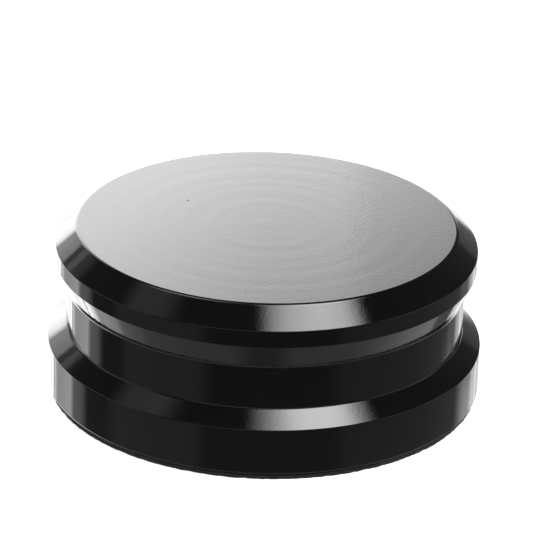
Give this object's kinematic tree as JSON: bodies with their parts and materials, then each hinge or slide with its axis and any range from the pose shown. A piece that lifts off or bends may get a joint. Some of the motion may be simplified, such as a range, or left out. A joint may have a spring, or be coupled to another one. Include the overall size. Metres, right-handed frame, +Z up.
{
  "type": "record weight",
  "caption": "Waisted gloss-black puck that slips over a turntable spindle: lacquered aluminium shell, brass core on rubber dampers, screwed base plate, plastic bush and felt pad.",
  "frame": {"origin": "centre of the felt pad's underside, on the spindle axis, where the weight rests on a record", "axes": "+Z up along the spindle axis towards the flat top; the object is round about Z apart from its base-plate screws, one of which lies on +X"},
  "size_m": [0.08, 0.08, 0.0319],
  "materials": {
    "black_lacquer": "high-gloss black lacquer over turned aluminium, faint orange peel and turning rings",
    "turned_brass": "fine turned, dull",
    "damping_rubber": "matt, soft",
    "turned_aluminium": "turned face, natural",
    "screw_steel": "bright zinc plate",
    "bush_acetal": "natural acetal, satin from turning",
    "adhesive_film": "thin clear-amber transfer film",
    "black_felt": "dense pressed felt with a cut, slightly fibrous edge"
  },
  "bodies": {
    "root": {"outer_shell": "black_lacquer", "ballast_core": "turned_brass", "upper_centring_ring": "damping_rubber", "lower_centring_ring": "damping_rubber", "upper_damping_disc": "damping_rubber", "lower_damping_disc": "damping_rubber", "base_plate": "turned_aluminium", "base_plate_screws": "screw_steel", "spindle_bush": "bush_acetal", "pad_adhesive_film": "adhesive_film", "felt_pad": "black_felt"}
  },
  "joints": []
}
